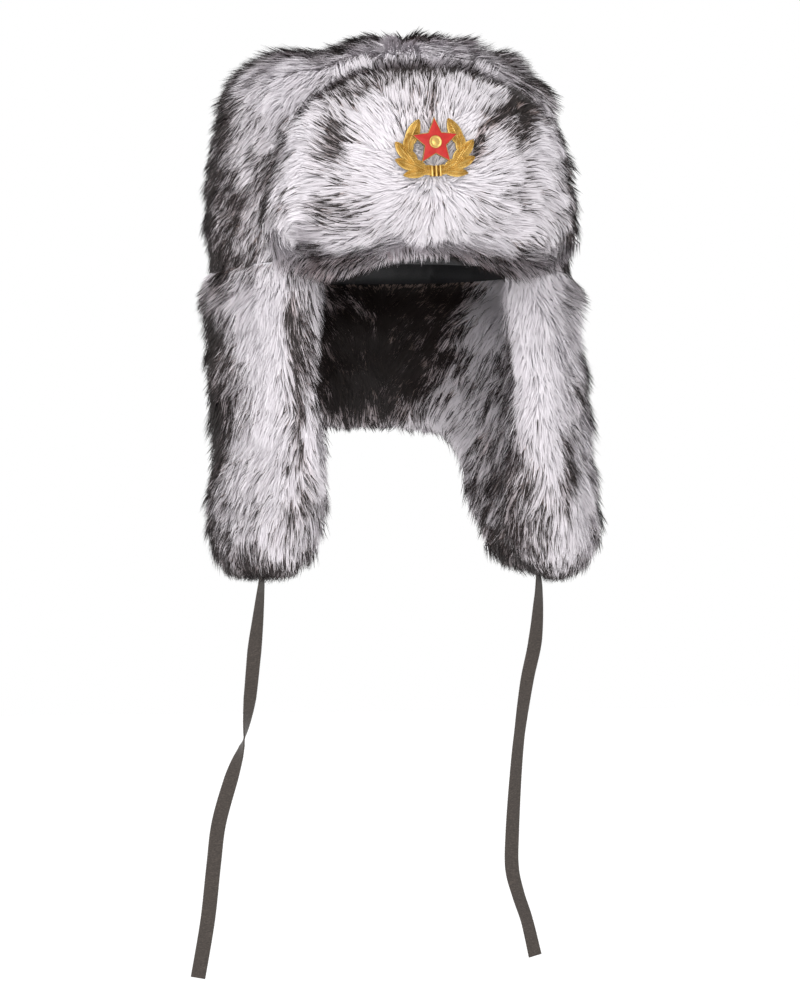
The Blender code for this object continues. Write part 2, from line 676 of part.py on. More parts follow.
def main():
    for obj in list(bpy.data.objects):
        bpy.data.objects.remove(obj)
    ushanka = bpy.data.collections.new("ushanka")
    bpy.context.scene.collection.children.link(ushanka)
    make_lining(ushanka)
    make_crown(ushanka)
    make_front_flap(ushanka)
    make_ear_band(ushanka)
    make_wreath(ushanka)
    make_star(ushanka)
    make_boss(ushanka)
    make_tie("tie_right", tie_stops(RIGHT_TIE, -1), ushanka)
    make_tie("tie_left", tie_stops(LEFT_TIE, 1), ushanka)


main()
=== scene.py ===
import math

import bpy
import numpy as np
from mathutils import Matrix, Vector
from mathutils.bvhtree import BVHTree
from mathutils.geometry import interpolate_bezier
from mathutils.kdtree import KDTree


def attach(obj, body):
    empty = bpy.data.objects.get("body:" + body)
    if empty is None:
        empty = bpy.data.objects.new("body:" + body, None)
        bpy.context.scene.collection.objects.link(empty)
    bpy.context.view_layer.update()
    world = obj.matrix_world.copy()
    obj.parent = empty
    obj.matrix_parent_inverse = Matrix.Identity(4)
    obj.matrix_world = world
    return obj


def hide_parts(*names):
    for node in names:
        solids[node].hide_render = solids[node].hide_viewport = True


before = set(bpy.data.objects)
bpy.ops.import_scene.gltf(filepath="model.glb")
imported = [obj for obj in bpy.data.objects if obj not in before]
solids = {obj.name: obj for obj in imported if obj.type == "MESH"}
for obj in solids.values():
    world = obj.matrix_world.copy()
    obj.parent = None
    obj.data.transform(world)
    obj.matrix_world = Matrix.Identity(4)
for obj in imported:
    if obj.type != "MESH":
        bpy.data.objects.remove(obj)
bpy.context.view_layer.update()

# Winter hat of white fur with dark tips: strands of fur over soft skins, a pinned badge
# and two ribbed tapes. The front of the hat faces -Y and its own left is +X.

scene = bpy.context.scene
print("frame: loaded", len(solids), "solids")

hatCamera = {
    "turn": -12.0,          # degrees from straight ahead
    "distance": 2.2,
    "aimSide": 0.0084,
    "aimHeight": -0.138,
    "lens": 132.0,
    "sensorHeight": 36.0,
}
viewTurn = math.radians(hatCamera["turn"])
towardsCamera = Vector((math.sin(viewTurn), -math.cos(viewTurn), 0))
acrossView = Vector((math.cos(viewTurn), math.sin(viewTurn), 0))


def placeCamera(look):
    data = bpy.data.cameras.new("hatCamera")
    data.lens = look["lens"]
    data.sensor_fit = "VERTICAL"
    data.sensor_height = look["sensorHeight"]
    camera = bpy.data.objects.new("hatCamera", data)
    aim = acrossView * look["aimSide"] + Vector((0, 0, look["aimHeight"]))
    camera.location = aim + towardsCamera * look["distance"]
    camera.rotation_euler = (math.radians(90), 0, viewTurn)
    scene.collection.objects.link(camera)
    scene.camera = camera


placeCamera(hatCamera)
print("camera: placed")


def addPiece(name, mesh, material, slot, *replaced):
    piece = bpy.data.objects.new(name, mesh)
    mesh.materials.clear()
    mesh.materials.append(material)
    scene.collection.objects.link(piece)
    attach(piece, "root")
    if replaced:
        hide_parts(*replaced)
    return piece


def startMaterial(name, roughness, metallic=0.0):
    material = bpy.data.materials.new(name)
    material.use_nodes = True
    shader = material.node_tree.nodes["Principled BSDF"]
    shader.inputs["Roughness"].default_value = roughness
    shader.inputs["Metallic"].default_value = metallic
    return material, material.node_tree.nodes, material.node_tree.links, shader


def addRamp(nodes, links, source, stops, mode="LINEAR"):
    ramp = nodes.new("ShaderNodeValToRGB")
    ramp.color_ramp.interpolation = mode
    while len(ramp.color_ramp.elements) < len(stops):
        ramp.color_ramp.elements.new(0.5)
    for element, (place, colour) in zip(ramp.color_ramp.elements, stops):
        element.position = place
        element.color = (*colour, 1)
    links.new(source, ramp.inputs["Fac"])
    return ramp.outputs["Color"]


def addNoise(nodes, links, scale, detail=3.0, stretch=(1, 1, 1)):
    where = nodes.new("ShaderNodeTexCoord")
    place = nodes.new("ShaderNodeMapping")
    place.inputs["Scale"].default_value = stretch
    noise = nodes.new("ShaderNodeTexNoise")
    noise.inputs["Scale"].default_value = scale
    noise.inputs["Detail"].default_value = detail
    links.new(where.outputs["Object"], place.inputs["Vector"])
    links.new(place.outputs["Vector"], noise.inputs["Vector"])
    return noise.outputs["Fac"]


def addBump(nodes, links, shader, height, strength, distance):
    bump = nodes.new("ShaderNodeBump")
    bump.inputs["Strength"].default_value = strength
    bump.inputs["Distance"].default_value = distance
    links.new(height, bump.inputs["Height"])
    links.new(bump.outputs["Normal"], shader.inputs["Normal"])


# Ties: the stops are x, y, z in metres and the tape's turn in degrees
tieTape = {
    "width": 0.0088,
    "thickness": 0.0010,
    "ribPitch": 0.0009,
    "ribDepth": 0.00022,
    "edgeWaver": 0.00018,
    "rightStops": [
        (-.0819, -.038, -.1822, -68), (-.0843, -.038, -.2058, -34),
        (-.0864, -.037, -.2264, -6), (-.0889, -.036, -.2541, -20),
        (-.0921, -.036, -.2766, -78), (-.0942, -.036, -.2840, -102),
        (-.1001, -.037, -.3007, -152), (-.1076, -.038, -.3267, -174),
        (-.1108, -.039, -.3508, -178), (-.1142, -.038, -.3833, -174),
        (-.1196, -.036, -.4169, -170),
    ],
    "leftStops": [
        (.0846, -.038, -.1808, -66), (.0848, -.038, -.1945, -44),
        (.0829, -.037, -.2217, -4), (.0781, -.036, -.2459, -10),
        (.0736, -.036, -.2766, -28), (.0709, -.037, -.3025, -20),
        (.0687, -.038, -.3349, -6), (.0685, -.038, -.3562, -2),
        (.0725, -.037, -.3721, -16), (.0781, -.036, -.3880, -20),
        (.0832, -.036, -.4092, -10),
    ],
}


def makeTapeMaterial():
    material, nodes, links, shader = startMaterial("brownTape", 0.82)
    noise = addNoise(nodes, links, 900, 4, (1, 1, 3))
    colour = addRamp(nodes, links, noise, [(.30, (.020, .015, .012)), (.55, (.043, .033, .027)),
                                           (.80, (.090, .072, .060))])
    links.new(colour, shader.inputs["Base Color"])
    addBump(nodes, links, shader, noise, .35, .0003)
    shader.inputs["Sheen Weight"].default_value = 0.15
    return material


def tapeRoute(stops, step):
    # A smooth curve through the stops, cut into even steps, and its length
    between = 16    # points from one stop to the next
    fine = []
    for i in range(len(stops) - 1):
        here, there = stops[i], stops[i + 1]
        before, after = stops[max(i - 1, 0)], stops[min(i + 2, len(stops) - 1)]
        a, b = Vector(here[:3]), Vector(there[:3])
        leanA = (b - Vector(before[:3])) / 6
        leanB = (Vector(after[:3]) - a) / 6
        curve = interpolate_bezier(a, a + leanA, b - leanB, b, between + 1)
        for k, place in enumerate(curve[:-1]):
            fine.append((*place, here[3] + (there[3] - here[3]) * k / between))
    fine = np.array(fine + [stops[-1]])
    run = np.concatenate([[0], np.cumsum(np.linalg.norm(np.diff(fine[:, :3], axis=0), axis=1))])
    even = np.linspace(0, run[-1], max(2, int(run[-1] / step)))
    return np.stack([np.interp(even, run, fine[:, k]) for k in range(4)], axis=1), run[-1]


def makeTie(name, stops, look, material, replaced):
    route, length = tapeRoute(stops, look["ribPitch"] / 2)
    along = np.gradient(route[:, :3], axis=0)
    verts, faces = [], []
    for k, (x, y, z, turn) in enumerate(route):
        heading = Vector(along[k]).normalized()
        flat = Vector((0, -1, 0))
        side = heading.cross(flat).normalized()
        side = Matrix.Rotation(math.radians(turn), 3, heading) @ side
        face = side.cross(heading)
        onRib = k % 2
        half = look["width"] / 2 - look["edgeWaver"] * (1 - onRib)
        thick = look["thickness"] / 2 - look["ribDepth"] / 2 * (1 - onRib)
        rim = half - look["thickness"] * 0.3
        for across, out in ((-half, 0), (-rim, thick), (0, thick), (rim, thick),
                            (half, 0), (rim, -thick), (0, -thick), (-rim, -thick)):
            verts.append(Vector((x, y, z)) + side * across + face * out)
    for k in range(len(route) - 1):
        for j in range(8):
            a, b = k * 8 + j, k * 8 + (j + 1) % 8
            faces.append((a, b, b + 8, a + 8))
    faces += [tuple(range(7, -1, -1)), tuple(range(len(verts) - 8, len(verts)))]
    mesh = bpy.data.meshes.new(name)
    mesh.from_pydata(verts, [], faces)
    mesh.update()
    tie = addPiece(name, mesh, material, "brown_tape", replaced)
    return tie


tapeMaterial = makeTapeMaterial()
makeTie("tapeRight", tieTape["rightStops"], tieTape, tapeMaterial, "tie_right")
makeTie("tapeLeft", tieTape["leftStops"], tieTape, tapeMaterial, "tie_left")
print("ties: two ribbed tapes")


# Fur: colours go from the palest strand's tone, 0, to the darkest's, 1
furColours = {
    "roots": [(0, (.77, .74, .775)), (.15, (.72, .67, .70)), (.32, (.55, .465, .475)),
              (.50, (.36, .30, .30)), (.72, (.26, .195, .175)), (1, (.135, .095, .072))],
    "tips": [(0, (.73, .705, .75)), (.15, (.58, .525, .555)), (.32, (.30, .24, .245)),
             (.48, (.030, .021, .021)), (.75, (.015, .010, .009)), (1, (.034, .024, .020))],
    # where along a strand the tip's colour begins, by the strand's tone, and its fade
    "tipEnds": ((0, 1.0), (1, .05)), "tipBetween": ((.3, .80), (.5, .44), (.7, .28)),
    "tipFade": 0.12,
    "roughness": 0.60,
    "paleGround": ((.58, .56, .59), (.72, .70, .74)),
    # Dark ground under dark fur and on hidden faces, and painted shade on the bare rim under the
    # front flap.
    "darkAndShadedGround": ((.012, .009, .008), (.032, .024, .020)),
}


def makeFurMaterial(name, look):
    # The map holds the place along a strand in U and the strand's tone in V
    material, nodes, links, shader = startMaterial(name, look["roughness"])
    where = nodes.new("ShaderNodeUVMap")
    where.uv_map = "OFBake"
    split = nodes.new("ShaderNodeSeparateXYZ")
    links.new(where.outputs["UV"], split.inputs["Vector"])
    along, tone = split.outputs["X"], split.outputs["Y"]
    rootColour = addRamp(nodes, links, tone, look["roots"])
    tipColour = addRamp(nodes, links, tone, look["tips"])
    start = nodes.new("ShaderNodeFloatCurve")
    for point, place in zip(start.mapping.curves[0].points, look["tipEnds"]):
        point.location = place
    for place in look["tipBetween"]:
        start.mapping.curves[0].points.new(*place)
    start.mapping.update()
    links.new(tone, start.inputs["Value"])
    end = nodes.new("ShaderNodeMath")
    end.operation = "ADD"
    end.inputs[1].default_value = look["tipFade"]
    links.new(start.outputs["Value"], end.inputs[0])
    dark = nodes.new("ShaderNodeMapRange")
    dark.interpolation_type = "SMOOTHSTEP"
    links.new(along, dark.inputs["Value"])
    links.new(start.outputs["Value"], dark.inputs["From Min"])
    links.new(end.outputs["Value"], dark.inputs["From Max"])
    blend = nodes.new("ShaderNodeMix")
    blend.data_type = "RGBA"
    links.new(dark.outputs["Result"], blend.inputs["Factor"])
    links.new(rootColour, blend.inputs["A"])
    links.new(tipColour, blend.inputs["B"])
    links.new(blend.outputs["Result"], shader.inputs["Base Color"])
    shader.inputs["Specular IOR Level"].default_value = 0.35
    return material


def makeSkinMaterial(name, low, high):
    material, nodes, links, shader = startMaterial(name, 0.95)
    noise = addNoise(nodes, links, 220, 5)
    links.new(addRamp(nodes, links, noise, [(.35, low), (.65, high)]), shader.inputs["Base Color"])
    addBump(nodes, links, shader, noise, .8, .002)
    return material


def unit(vectors):
    return vectors / np.maximum(np.linalg.norm(vectors, axis=-1, keepdims=True), 1e-9)


def fade(values, start, width):
    # From 0 at start to 1 a width further on
    return np.clip((values - start) / width, 0, 1)


def softNoise(points, size, seed):
    # Sum of plane waves of about one size, from -1 to 1
    rng = np.random.default_rng(seed)
    waves = unit(rng.normal(size=(9, 3))) * (2 * np.pi / size) * rng.uniform(.6, 1.5, (9, 1))
    return np.sin(points @ waves.T + rng.uniform(0, 6.28, 9)).sum(1) / 3.2


def readSolid(name):
    # Corners joined by place, and the triangles between them
    mesh = solids[name].data
    mesh.calc_loop_triangles()
    places = np.zeros(len(mesh.vertices) * 3)
    mesh.vertices.foreach_get("co", places)
    corners = np.zeros(len(mesh.loop_triangles) * 3, np.int64)
    mesh.loop_triangles.foreach_get("vertices", corners)
    places, inverse = np.unique(np.round(places.reshape(-1, 3), 6), axis=0, return_inverse=True)
    triangles = inverse.reshape(-1)[corners].reshape(-1, 3)
    return places, triangles


def faceNormals(places, triangles):
    a, b, c = (places[triangles[:, k]] for k in range(3))
    normals = np.cross(b - a, c - a)
    return normals, np.linalg.norm(normals, axis=1) / 2


def evenNormals(places, triangles, rounds):
    normals, _ = faceNormals(places, triangles)
    atCorner = np.zeros_like(places)
    for k in range(3):
        np.add.at(atCorner, triangles[:, k], normals)
    atCorner = unit(atCorner)
    for _ in range(rounds):
        total = atCorner.copy()
        for k in range(3):
            np.add.at(total, triangles[:, k], atCorner[triangles[:, (k + 1) % 3]])
            np.add.at(total, triangles[:, k], atCorner[triangles[:, (k + 2) % 3]])
        atCorner = unit(total)
    return atCorner


def coveredFaces(name, places, triangles, reach):
    # Faces that lie against another solid and grow no fur
    others = []
    for other, obj in solids.items():
        if other != name and not other.startswith(("badge", "tie")):
            others.append(BVHTree.FromPolygons([v.co for v in obj.data.vertices],
                                               [p.vertices for p in obj.data.polygons]))
    normals, _ = faceNormals(places, triangles)
    normals = unit(normals)
    middles = places[triangles].mean(1)
    covered = np.zeros(len(triangles), bool)
    for k, (middle, normal) in enumerate(zip(middles, normals)):
        start, way = Vector(middle), Vector(normal)
        covered[k] = any(tree.ray_cast(start + way * 1e-5, way, reach)[0] for tree in others)
    return covered


def seenPlace(points):
    # Millimetres across and up as seen from the front, on the plane through the hat's middle
    near = hatCamera["distance"] / (hatCamera["distance"] - points @ np.array(towardsCamera))
    across = (points @ np.array(acrossView) - hatCamera["aimSide"]) * near + hatCamera["aimSide"]
    up = (points[:, 2] - hatCamera["aimHeight"]) * near + hatCamera["aimHeight"]
    return across * 1000, up * 1000


# How dark the fur is by place. Mottle is soft noise of a size in metres, and a patch is its
# place as seen, its half sizes, its tilt in degrees and what it adds to the tone.
edgeShade = {"from": .46, "amount": .48, "mottle": .16, "mottleSize": .05, "seed": 9}
crownShade = {
    # rim darkens the crown's lowest fur: dark tips hang over the seam there, and painted shade fills
    # the seam's crease.
    "base": .27, "mottle": .12, "mottleSize": .05, "seed": 3, "rim": .12, "rimHeight": .012,
    "patches": [
        (20, 129, 50, 6, 0, -.20), (-60, 110, 26, 12, 0, -.25), (-95, 40, 15, 36, 0, .34),
        # The three tilted dark patches along the flap's left edge are a painted shadow cast by that
        # edge.
        (-46, 95, 15, 6, 40, .42), (-62, 69, 16, 6, 73, .40), (-70, 39, 17, 6, 77, .38),
        (-68, 96, 16, 10, 0, -.12),
    ],
}
flapShade = {
    "base": .26, "mottle": .08, "mottleSize": .05, "seed": 4,
    "fringe": .38, "fringeTop": .005, "fringeFade": .007,    # dark tips along the lower edge
    "lowFrom": .20, "lowFade": .30, "lowCut": .72,           # where it turns down, fewer others
    "patches": [
        (-23, 108, 13, 4, 15, .30), (-2, 115, 13, 4, 22, .24), (20, 122, 14, 4, 16, .36),
        (44, 126, 14, 4, -2, .40), (64, 120, 11, 5, -28, .45), (28, 104, 2.2, 13, 0, .45),
        (-27, 80, 17, 17, 0, .28), (-34, 84, 9, 13, 0, .20), (20, 102, 22, 9, 0, .18),
        (83, 93, 6, 15, 8, .75), (60, 78, 4.5, 14, -6, .70), (69, 95, 10, 4, 38, .55),
        (90, 27, 15, 20, 0, .10), (-42, 30, 8, 16, 0, .22), (-55, 50, 7, 50, 0, -.14),
        (24, 15, 74, 6, 0, -.10), (60, 45, 4, 5, 30, .30), (104, 76, 8, 24, 0, -.35),
        (34, 56, 46, 34, 0, -.15), (26, 50, 10, 8, 0, .10), (-10, 84, 12, 12, 0, -.14),
    ],
}
bandShade = {
    "base": .26, "mottle": .10, "mottleSize": .06, "seed": 5,
    "openingHalf": (.0825, .100), "openingLimit": 1.06, "wallBottom": -.170,
    # Inside, towards the back, the fur is somewhat darker and painted shade darkens it further, most
    # of all high up under the crown.
    "deepDarkAndShade": .57, "deepMottle": .07, "deepMottleSize": .02, "deepSeed": 6,
    "deepFrom": 118, "deepFade": 22, "deepShift": 22,        # degrees round from the front
    "shiftFrom": .015, "shiftFade": .060,
    "high": .36, "highFrom": -.092, "highFade": .016,
    "streaks": .10, "streakSize": .012, "streakSeed": 8, "streaksFrom": 60, "streaksFade": 20,
    "lobeCut": .20, "lobeSide": .02, "lobeTop": .03, "lobeFade": .04,
    "patches": [
        (-98, -54, 12, 62, -3, .36), (-74, -66, 14, 84, 0, -.34), (-82, -126, 25, 30, 0, .05),
        (-73, -183, 40, 6, 0, .30), (-57, -27, 3, 14, 0, .35), (-53, -44, 8, 40, 0, .28),
        # The pale patches on the inner wall of the left ear flap, 66 to 112 across, are painted
        # light that whitens fur lying in shade.
        (66, -20, 16, 20, 0, -.18), (-51, -99, 3, 30, 5, .35), (80, -28, 14, 26, 0, -.16),
        (46, -60, 8, 26, 20, .16), (65, -125, 20, 30, 0, .34), (92, -48, 16, 50, 0, -.26),
        (118, -122, 11, 45, 0, -.36), (74, -58, 4, 34, 0, .50), (110, -126, 4, 28, 0, .60),
        (113, -78, 4, 6, 0, .40), (-76, -160, 20, 36, 0, .12), (-52, -125, 10, 44, 0, .16),
        (-104, -120, 8, 30, 0, .12), (112, -60, 8, 40, 0, -.18), (76, -168, 20, 16, 0, .32),
        (-76, 2, 20, 6, 0, .34),
    ],
}


def placeTone(points, normals, shade):
    # Base tone, its mottle and its patches, which fade where the fur turns away
    across, up = seenPlace(points)
    facing = fade(normals @ np.array(towardsCamera), -.15, .35)
    total = np.zeros(len(points))
    for x, z, halfX, halfZ, tilt, tone in shade["patches"]:
        c, s = math.cos(math.radians(tilt)), math.sin(math.radians(tilt))
        u, v = across - x, up - z
        gap = ((u * c + v * s) / halfX) ** 2 + ((v * c - u * s) / halfZ) ** 2
        total += tone * np.exp(-gap * .9)
    mottle = softNoise(points, shade["mottleSize"], shade["seed"])
    return shade["base"] + shade["mottle"] * mottle + total * facing


def edgeTone(points, normals):
    # Tips crowd where the fur turns away from the front
    facing = np.abs(normals @ np.array(towardsCamera))
    mottle = softNoise(points, edgeShade["mottleSize"], edgeShade["seed"])
    return (np.clip(1 - facing / edgeShade["from"], 0, 1)
            * (edgeShade["amount"] + edgeShade["mottle"] * mottle))


def crownTone(points, normals):
    # Darker along the seam: dark tips, and painted shade in the crease
    rim = np.clip(1 - np.abs(points[:, 2]) / crownShade["rimHeight"], 0, 1)
    return (placeTone(points, normals, crownShade) + edgeTone(points, normals)
            + crownShade["rim"] * rim)


def flapTone(points, normals):
    shade = flapShade
    low = fade(-normals[:, 2], shade["lowFrom"], shade["lowFade"])
    fringe = fade(-points[:, 2], -shade["fringeTop"], shade["fringeFade"]) * low
    edge = edgeTone(points, normals) * (1 - shade["lowCut"] * low)
    return placeTone(points, normals, shade) + np.maximum(edge, shade["fringe"] * fringe)


def bandTone(points, normals):
    shade = bandShade
    # The wall's inner side is inside the oval of the opening
    halfWide, halfDeep = shade["openingHalf"]
    oval = (points[:, 0] / halfWide) ** 2 + (points[:, 1] / halfDeep) ** 2
    inner = (oval < shade["openingLimit"]) & (points[:, 2] > shade["wallBottom"])
    fold = np.degrees(np.abs(np.arctan2(points[:, 0], -points[:, 1])))
    # The lit wall of the left ear flap reaches further back the lower it is
    lower = fade(-points[:, 2], shade["shiftFrom"], shade["shiftFade"]) * (points[:, 0] > 0)
    # Painted shade over somewhat darker fur fills the inside towards the back, darker higher up
    deepDarkAndShade = fade(fold - shade["deepFrom"], shade["deepShift"] * lower, shade["deepFade"])
    high = fade(points[:, 2], shade["highFrom"], shade["highFade"])
    dark = shade["deepDarkAndShade"] + shade["high"] * high
    dark += shade["deepMottle"] * softNoise(points, shade["deepMottleSize"], shade["deepSeed"])
    wall = fade(fold, shade["streaksFrom"], shade["streaksFade"]) * shade["streaks"]
    wall *= softNoise(points, shade["streakSize"], shade["streakSeed"])
    lobe = fade(points[:, 0], 0, shade["lobeSide"])
    lobe *= fade(-points[:, 2], -shade["lobeTop"], shade["lobeFade"])
    tone = placeTone(points, normals, shade)
    edge = edgeTone(points, normals) * (1 - shade["lobeCut"] * lobe)
    return np.where(inner, (tone + wall) * (1 - deepDarkAndShade) + dark * deepDarkAndShade, tone + edge)


badgePlace = np.array([-.003, -.1463, .060])


# Each comb gives the way that the hairs lie at a place

def combCrown(points, normals):
    # Away from the crown's top, and down the steeper it gets
    steep = fade(-points[:, 2], -.125, .07)
    way = np.zeros((len(points), 3))
    way[:, 0] = .85 * np.tanh(points[:, 0] / .045)
    way[:, 1] = .60 * np.tanh((points[:, 1] + .03) / .05)
    way[:, 2] = -.30 - .75 * steep
    return way


def combFlap(points, normals):
    # Outward from a point under the badge, and down beside it and along the lower edge
    across, up = seenPlace(points)
    way = points - badgePlace + [0, 0, .024]
    way[:, 1] = 0
    reach = np.linalg.norm(way, axis=1)
    way = unit(way)
    way[:, 2] -= 1.5 * np.exp(-(reach / .016) ** 2)    # no star of hairs round one point
    beside = fade(-across, 44, 12) + fade(across, 82, 20)
    way[:, 2] -= .9 * beside * (up < 100)
    way[:, 2] -= 1.1 * fade(-up, -26, 16)
    way[:, 1] -= .5 * (normals[:, 2] < -.4)            # forward under the lower edge
    return way


def combBand(points, normals):
    # Down, spreading from the middle of each ear flap, and back behind the ears
    across, _ = seenPlace(points)
    front = np.clip(normals @ np.array(towardsCamera), 0, 1)
    left = -.09 + .30 * np.clip((across + 74) / 28, -1.3, 1.3)
    right = -.05 + .24 * np.clip((across - 93) / 28, -1.6, .8)
    lean = np.where(across < 0, left, right) * front
    way = np.array(acrossView) * lean[:, None]
    way[:, 2] = -1
    way[:, 1] += .30 * (1 - front) * (points[:, 1] > -.02)
    return way


# How much fuller the fur is along the sides: millimetres across the view and up, half sizes
# and what is added in millimetres
fullSides = [(-104, 4, 22, 22, 5), (108, 4, 24, 20, 6), (118, -26, 26, 40, 7),
             (126, -100, 20, 36, 4), (-110, -110, 20, 60, 2), (48, 133, 20, 12, 7),
             (59, 133, 10, 10, 6), (97, 107, 12, 10, 3), (-86, 114, 24, 12, 3),
             (-44, 126, 22, 14, 5)]


def fullness(points, normals):
    across, up = seenPlace(points)
    sideways = np.clip(1.15 - np.abs(normals @ np.array(towardsCamera)), 0, 1)
    total = np.zeros(len(points))
    for x, z, halfX, halfZ, more in fullSides:
        gap = ((across - x) / halfX) ** 2 + ((up - z) / halfZ) ** 2
        total += more / 1000 * np.exp(-gap)
    return total * sideways


# Each trim gives what is left of a hair's stand above the pile and of its reach at a place

def trimCrown(points, normals):
    # Longer at the rim, and cut short behind the flap's lower edge
    rim = fade(points[:, 2], 0, .016)
    under = fade(-points[:, 1], .055, .02) * np.clip(1.3 - points[:, 2] / .022, 0, 1)
    under *= fade(-np.abs(points[:, 0]), -.074, .012)
    return (1.1 - .1 * rim) * (1 - under), (1.7 - .7 * rim) * (1 - .85 * under)


def trimFlap(points, normals):
    # Pressed flat round the badge but not inside its wreath, and longer at the lower edge
    around = np.hypot((points[:, 0] - badgePlace[0]) / .027, (points[:, 2] - badgePlace[2]) / .021)
    free = fade(around, .95, .40) * (normals[:, 1] < 0) + (normals[:, 1] >= 0)
    across, _ = seenPlace(points)
    low = fade(-points[:, 2], -.020, .012) * (1 + fade(-across, -10, 20))
    return np.where(around < .42, .7, free), (.45 + .55 * free) * (1 + .35 * low)


def trimBand(points, normals):
    # Flatter under the crown's rim
    rim = fade(-points[:, 2], 0, .020)
    return .25 + .75 * rim, .90 + .10 * rim


def growFur(name, look, roots, normals, sinks, comb, trim, tone, material, slot, replaced):
    rng = np.random.default_rng(look["seed"] + 100)    # apart from the draws of the roots
    count = len(roots)
    swirl = softNoise(roots, look["swirlSize"], look["seed"]) * look["swirl"]
    combed = unit(comb(roots, normals))
    dip = (combed * normals).sum(1)
    way = unit(combed - normals * dip[:, None])
    side = np.cross(normals, way)
    standPart, reachPart = trim(roots, normals)
    spots = roots + normals * look["foldLift"]    # keeps the two sides of a fold apart

    def nearest(share, seed):
        # Some of the hairs lead the others, and each hair follows the nearest of them
        picked = np.random.default_rng(seed).choice(count, max(8, int(count * share)), False)
        tree = KDTree(len(picked))
        for k, leader in enumerate(picked):
            tree.insert(spots[leader], k)
        tree.balance()
        return picked, np.array([tree.find(p)[1] for p in spots])

    lockRoots, lock = nearest(1 / look["perLock"], 1)
    wispRoots, wisp = nearest(1 / look["perWisp"], 2)

    def spread(low, high, group=None):
        size = count if group is None else group.max() + 1
        values = rng.uniform(low, high, size)
        return values if group is None else values[group]

    def uneven(start, limits):
        # Draws for the lock, for the wisp and for the hair itself, added to the start
        draws = (spread(-limit, limit, group) for limit, group in zip(limits, (lock, wisp, None)))
        return sum(draws, start)

    # The pile is broad, flat and pale. Guard hairs stand above it and some have dark tips.
    pile = spread(0, 1) < look["pileShare"]
    shown = roots + way * look["reach"] * look["tipAt"]    # where the hair's tip lies
    zone = tone(shown, normals) + spread(-look["lockTone"], look["lockTone"], lock)
    draw = look["hairDraw"] * spread(0, 1) + look["wispDraw"] * spread(0, 1, wisp)
    tipped = ~pile & (draw < np.interp(zone, *look["tippedShare"]))
    tipTone, gain, gainFrom = look["tipTone"]
    tones = np.where(tipped, tipTone + gain * np.clip(zone - gainFrom, 0, 1),
                     np.interp(zone, *look["baseTone"]))
    wispTone, hairTone = look["toneSpread"]
    varied = spread(-wispTone, wispTone, wisp) + spread(-hairTone, hairTone)
    tones = np.clip(tones + varied * (.4 + .6 * tipped), .02, .98)

    stand = np.where(tipped, spread(*look["tippedStand"]), spread(*look["guardStand"])) * ~pile
    rise = sinks - look["under"] + look["proud"] * stand * standPart + fullness(roots, normals)
    rise *= uneven(1, look["riseSpread"])
    reach = look["reach"] * reachPart * (1 - look["standShort"] * stand)
    reach *= uneven(1, look["reachSpread"])
    reach *= (1 - look["dipShort"] * np.clip(dip, 0, 1)) * np.where(tipped, look["tippedReach"], 1)
    angle = np.radians(uneven(swirl, look["angleSpread"]))
    way = way * np.cos(angle)[:, None] + side * np.sin(angle)[:, None]
    start = roots - normals * sinks[:, None]

    stations = np.array([0, .50, 1.0])
    lines = np.zeros((count, 3, 3))
    for k, t in enumerate(stations):    # a hair first rises and then lies over
        up = rise * (1 - (1 - t) ** (1.8 - .5 * stand))
        out = reach * t ** (1.2 + .35 * stand)
        lines[:, k] = start + normals * up[:, None] + way * out[:, None]
    pull = np.where(pile, look["pilePull"], look["wispPull"])[:, None, None]
    for leaders, group, hold, power in ((wispRoots, wisp, pull, 1.4),
                                        (lockRoots, lock, look["lockPull"], 2.0)):
        guide = lines[leaders][group]
        lines += (guide - lines) * hold * (stations ** power)[None, :, None]

    run = unit(np.gradient(lines, axis=1))
    across = unit(np.cross(run, normals[:, None, :]))
    twist = rng.normal(0, 1, count) * np.where(pile, look["pileTwist"], look["twist"])
    twist = np.clip(twist, -look["mostTwist"], look["mostTwist"])[:, None, None]
    across = across * np.cos(twist) + np.cross(run, across) * np.sin(twist)
    width = np.where(pile, look["pileWidth"], np.where(tipped, look["tippedWidth"], look["width"]))
    width = width * rng.uniform(*look["widthSpread"], count)
    # Shares of the width at the root and half way, before the pointed tip
    shape = np.where(pile[:, None], [[.9, 1.0]], [[.5, 1.0]]) * width[:, None]

    verts = np.zeros((count, 5, 3), np.float32)
    for k in range(2):
        verts[:, 2 * k] = lines[:, k] - across[:, k] * shape[:, k, None] / 2
        verts[:, 2 * k + 1] = lines[:, k] + across[:, k] * shape[:, k, None] / 2
    verts[:, 4] = lines[:, 2]
    first = np.arange(count, dtype=np.int32)[:, None]
    loops = (first * 5 + np.array([0, 1, 3, 2, 2, 3, 4], np.int32)).ravel()
    starts = (first * 7 + np.array([0, 4], np.int32)).ravel()

    mesh = bpy.data.meshes.new(name)
    mesh.vertices.add(count * 5)
    mesh.vertices.foreach_set("co", verts.ravel())
    mesh.loops.add(count * 7)
    mesh.loops.foreach_set("vertex_index", loops)
    mesh.polygons.add(count * 2)
    mesh.polygons.foreach_set("loop_start", starts)
    mesh.polygons.foreach_set("use_smooth", np.ones(count * 2, bool))
    mesh.update(calc_edges=True)

    flat = np.cross(across[:, 1], run[:, 1])
    flat *= np.sign((flat * normals).sum(1, keepdims=True))
    softness = np.where(pile, look["pileSoftness"], look["softness"])[:, None]
    soft = unit(flat * (1 - softness) + normals * softness)
    mesh.normals_split_custom_set_from_vertices(np.repeat(soft, 5, axis=0).tolist())

